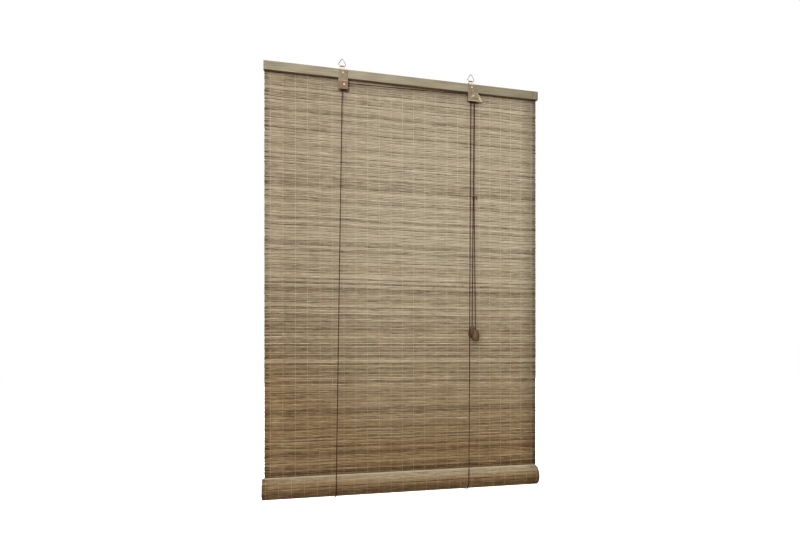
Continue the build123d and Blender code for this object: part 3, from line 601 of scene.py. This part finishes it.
# the hanging mat: browner and darker in its lower half, partly painted shade, and painted shade in its last
# stretch above the roll
hangingSplints = grow("hangingSplints", hangingPath(0), splints, {
    **splintValues, "Length": matHigh.x - matLow.x, "Count": hangingCount, "First Rank": 0.0,
    "Group Wave": weave["groupWave"], "Own Wave": weave["ownWave"], "Batch Share": weave["batchShare"],
    "Own Share": weave["ownShare"], "Tone": 0.5, "Age And Shade Start": -0.85, "Age And Shade Slope": 2.0, "Shade From": 0.955,
    "Shade To": 0.982, "Foot Shade": 0.3})
hangingThreads = grow("hangingThreads", hangingPath(firstThread), warpThreads, {
    **threadValues, "Count": hangingCount})
# the roll: painted shade on its back and underside
rolledSplints = grow("rolledSplints", rollPath(rollCentreX), splints, {
    **splintValues, "Length": rollHigh.x - rollLow.x - 2 * weave["ragged"], "Count": rolledCount,
    "First Rank": float(hangingCount), "Group Wave": 0.0, "Own Wave": weave["ownWave"] * 0.6,
    "Batch Share": weave["batchShare"] * 0.4, "Own Share": weave["ownShare"] * 0.5, "Tone": 0.48,
    "Age And Shade Start": 3.3, "Age And Shade Slope": -12.6, "Shade From": 0.21, "Shade To": 0.11, "Foot Shade": 0.2})
rolledThreads = grow("rolledThreads", rollPath(firstThread + rollCentreX), warpThreads, {
    **threadValues, "Count": rolledCount})

for piece in (hangingSplints, hangingThreads):
    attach(piece, "root")
    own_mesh(piece)
for piece in (rolledSplints, rolledThreads):
    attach(piece, "roll")
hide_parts("hanging_mat")
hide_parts("mat_roll")
print("the mat is woven")


# laid cord of three strands
cord = {"diameter": 0.0025, "sides": 12, "strands": 3, "groove": 0.06, "layLength": 0.011, "step": 0.0012,
        "runStep": 0.0016}
cordRadius = cord["diameter"] / 2


def splineThrough(name, route):
    # the smooth line that a route's points pull on, read back as points
    data = bpy.data.curves.new(name, "CURVE")
    data.dimensions = "3D"
    data.resolution_u = 24
    spline = data.splines.new("NURBS")
    spline.points.add(len(route) - 1)
    for point, place in zip(spline.points, route):
        point.co = (*place, 1.0)
    spline.order_u = 3
    spline.use_endpoint_u = True
    holder = newObject(name, data)
    mesh = bpy.data.meshes.new_from_object(holder.evaluated_get(bpy.context.evaluated_depsgraph_get()))
    points = [vertex.co.copy() for vertex in mesh.vertices]
    bpy.data.objects.remove(holder)
    bpy.data.meshes.remove(mesh)
    return points


def evenlySpaced(points, step):
    reached = [0.0]
    for a, b in zip(points, points[1:]):
        reached.append(reached[-1] + (b - a).length)
    count = max(2, round(reached[-1] / step) + 1)
    result, k = [], 0
    for i in range(count):
        target = reached[-1] * i / (count - 1)
        while k < len(reached) - 2 and reached[k + 1] < target:
            k += 1
        span = reached[k + 1] - reached[k]
        result.append(points[k].lerp(points[k + 1], min(1.0, (target - reached[k]) / span) if span else 0.0))
    return result, reached[-1]


def layCord(name, lines, step):
    # tubes along the lines, their three-lobed section turning as it goes
    vertices, faces, marks = [], [], []
    sides = cord["sides"]
    for line in lines:
        centres, length = evenlySpaced(line, step)
        count, base = len(centres), len(vertices)
        side = None
        for i, centre in enumerate(centres):
            tangent = (centres[min(i + 1, count - 1)] - centres[max(i - 1, 0)]).normalized()
            side = tangent.orthogonal() if side is None else side
            side = (side - tangent * side.dot(tangent)).normalized()
            up = tangent.cross(side)
            along = length * i / (count - 1)
            for j in range(sides):
                angle = 2 * math.pi * j / sides
                lobe = math.cos(cord["strands"] * (angle - 2 * math.pi * along / cord["layLength"]))
                radius = cordRadius * (1 - cord["groove"] * (1 - lobe) / 2)
                vertices.append(centre + radius * (side * math.cos(angle) + up * math.sin(angle)))
                marks.append((along, j))
            if i:
                low, high = base + (i - 1) * sides, base + i * sides
                for j in range(sides):
                    k = (j + 1) % sides
                    faces.append((low + j, low + k, high + k, high + j))
        faces.append(tuple(base + j for j in reversed(range(sides))))
        faces.append(tuple(base + (count - 1) * sides + j for j in range(sides)))
    mesh = bpy.data.meshes.new(name)
    mesh.from_pydata(vertices, [], faces)
    around = mesh.uv_layers.new(name="alongCord")
    for face in mesh.polygons:
        columns = [marks[mesh.loops[loop].vertex_index][1] for loop in face.loop_indices]
        wraps = 0 in columns and sides - 1 in columns and len(columns) == 4
        for loop, column in zip(face.loop_indices, columns):
            turned = sides if wraps and column == 0 else column
            along = marks[mesh.loops[loop].vertex_index][0]
            around.data[loop].uv = (along / cord["diameter"], turned / sides * math.pi)
    mesh.shade_smooth()
    mesh.materials.append(materials["cord"])
    piece = newObject(name, mesh)
    return piece


# the cords that run inside and behind the blind
wheelRadius = (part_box("right_wheel_cord")[1].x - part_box("right_wheel_cord")[0].x) / 2 - cordRadius
laneFront, laneRear = middleOf("cross_cord").y, middleOf("right_wheel_cord").y
slingRadius = (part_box("left_cord_sling")[1].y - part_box("left_cord_sling")[0].y) / 2 - cordRadius
wheelLeft, wheelRight = middleOf("wheel_left"), middleOf("wheel_right")
slingX = {"left": middleOf("left_cord_sling").x, "right": middleOf("right_cord_sling").x}
joinGap = 0.0005

for sideName, wheel, lane in (("left", wheelLeft, laneFront), ("right", wheelRight, laneRear)):
    frontTop = Vector((wheel.x - wheelRadius, lane, wheel.z - joinGap))
    backTop = Vector((math.copysign(jointByName["right_ring_swing"]["pos_m"][0], wheel.x),
                      middleOf("anchor_knots").y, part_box("anchor_knots")[0].z))
    for place, top, sign in (("front", frontTop, -1), ("back", backTop, 1)):
        foot = Vector((slingX[sideName], rollAxis.y + sign * slingRadius, rollAxis.z + joinGap))
        piece = layCord(f"{sideName}LiftCord{place.capitalize()}", [[top, foot]], cord["runStep"])
        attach(piece, "root")
        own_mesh(piece)
        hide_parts(f"{sideName}_lift_cord_{place}")
    bulge = slingRadius * math.tan(math.pi / 8)
    cradle = [(-slingRadius, 0), (-slingRadius, -bulge), (-bulge, -slingRadius), (bulge, -slingRadius),
              (slingRadius, -bulge), (slingRadius, 0)]
    route = [rollAxis + Vector((slingX[sideName] - rollAxis.x, y, z)) for y, z in cradle]
    piece = layCord(f"{sideName}CordSling", [splineThrough("cradle", route)], cord["step"])
    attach(piece, "cord_slings")
    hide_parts(f"{sideName}_cord_sling")

nearWheel = 6 * cord["diameter"]
leftFoot, rightFoot = wheelLeft.z - joinGap, wheelRight.z - joinGap
fall = (wheelRight.z - wheelLeft.z) / (wheelRight.x - wheelLeft.x)
crossRoute = [
    (wheelLeft.x - wheelRadius, laneFront, leftFoot),
    (wheelLeft.x - wheelRadius, laneFront, wheelLeft.z + wheelRadius),
    (wheelLeft.x + nearWheel, laneFront, wheelLeft.z + wheelRadius + nearWheel * fall),
    (wheelRight.x - nearWheel, laneFront, wheelRight.z + wheelRadius - nearWheel * fall),
    (wheelRight.x + wheelRadius, laneFront, wheelRight.z + wheelRadius),
    (wheelRight.x + wheelRadius, laneFront, rightFoot)]
overRoute = [
    (wheelRight.x - wheelRadius, laneRear, rightFoot),
    (wheelRight.x - wheelRadius, laneRear, wheelRight.z + wheelRadius),
    (wheelRight.x + wheelRadius, laneRear, wheelRight.z + wheelRadius),
    (wheelRight.x + wheelRadius, laneRear, rightFoot)]
for name, nodeName, route in (("crossCord", "cross_cord", crossRoute),
                              ("rightWheelCord", "right_wheel_cord", overRoute)):
    piece = layCord(name, [splineThrough("overWheel", route)], cord["step"])
    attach(piece, "root")
    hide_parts(nodeName)

# a cord tied round itself once and pulled tight, under each acorn and behind each bracket
endKnot = {"radius": 0.0028, "step": 0.0006, "points": 60, "depth": 1.6}
endKnots = {}
for name, nodeName, body in (("acornKnots", "acorn_knots", "pulls"), ("earKnots", "anchor_knots", "root")):
    low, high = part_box(nodeName)
    inset = endKnot["radius"] * Vector((1, 1, 1))
    first, second = low + inset, high - inset
    if nodeName == "acorn_knots":
        first, second = Vector((first.x, second.y, second.z)), Vector((second.x, first.y, first.z))
    loops = []
    for centre in (first, second):
        points = []
        for i in range(endKnot["points"] + 1):
            turn = 2 * math.pi * i / endKnot["points"]
            points.append(centre + (endKnot["radius"] - cordRadius) / 3 * Vector((
                math.sin(turn) + 2 * math.sin(2 * turn), math.cos(turn) - 2 * math.cos(2 * turn),
                -endKnot["depth"] * math.sin(3 * turn))))
        loops.append(points)
    piece = endKnots[nodeName] = layCord(name, loops, endKnot["step"])
    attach(piece, body)
    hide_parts(nodeName)

# the knot that ties both pull cords: one cord wound round the pair, with a short loose end
knot = {
    "turns": 4, "tuck": 0.35, "stepsPerTurn": 20, "step": 0.0006,
    "looseEnd": ((0.0022, -0.001, 0.003), (0.0072, -0.003, 0.0038), (0.0088, -0.0036, -0.0015),
                 (0.0074, -0.0034, -0.0055))}
knotLow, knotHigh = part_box("cord_knot")
knotMiddle = middleOf("cord_knot")
knotCoil = (knotHigh.x - knotLow.x) / 2 - cordRadius
knotFall = knotHigh.z - knotLow.z - cord["diameter"]
knotSteps = knot["turns"] * knot["stepsPerTurn"]
winding = []
for i in range(knotSteps + 1):
    share = i / knotSteps
    angle = 2 * math.pi * knot["turns"] * share
    radius = knotCoil * (knot["tuck"] + (1 - knot["tuck"]) * min(1, 5 * min(share, 1 - share) + 0.1))
    winding.append(knotMiddle + Vector((
        radius * math.cos(angle), radius * math.sin(angle), knotFall * (0.5 - share))))
looseEnd = splineThrough("looseEnd", [knotMiddle + Vector(point) for point in knot["looseEnd"]])
cordKnot = layCord("cordKnot", [winding, looseEnd], knot["step"])
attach(cordKnot, "pulls")
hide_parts("cord_knot")

# the two pull cords: out of the lock, through their knot, down to the acorns; points in metres
pull = {
    "left": ((0.199, -0.00225, -0.0638), (0.1989, -0.0024, -0.0788), (0.1962, -0.00525, -0.341),
             (0.1958, -0.0051, -0.356), (0.1946, -0.004, -0.368), (0.1944, -0.0041, -0.383),
             (0.19005, -0.00654, -0.7595)),
    "right": ((0.199, 0.00055, -0.0638), (0.1989, 0.0004, -0.0788), (0.1962, -0.00275, -0.341),
              (0.1962, -0.0029, -0.356), (0.1974, -0.004, -0.368), (0.1972, -0.0049, -0.383),
              (0.19275, -0.0283, -0.77)),
    "bendFrom": -0.0648, "bendTo": -0.352}
for sideName in ("left", "right"):
    line = splineThrough("pull", pull[sideName])
    piece = layCord(f"{sideName}PullCord", [line], cord["runStep"])
    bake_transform(piece)
    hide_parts(f"{sideName}_pull_cord_top", f"{sideName}_pull_cord_tail")
    onCord = [frame["nodes"]["acorn_" + sideName]]
    if sideName == "left":
        onCord += [cordKnot, endKnots["acorn_knots"]]
print("the cords are strung")
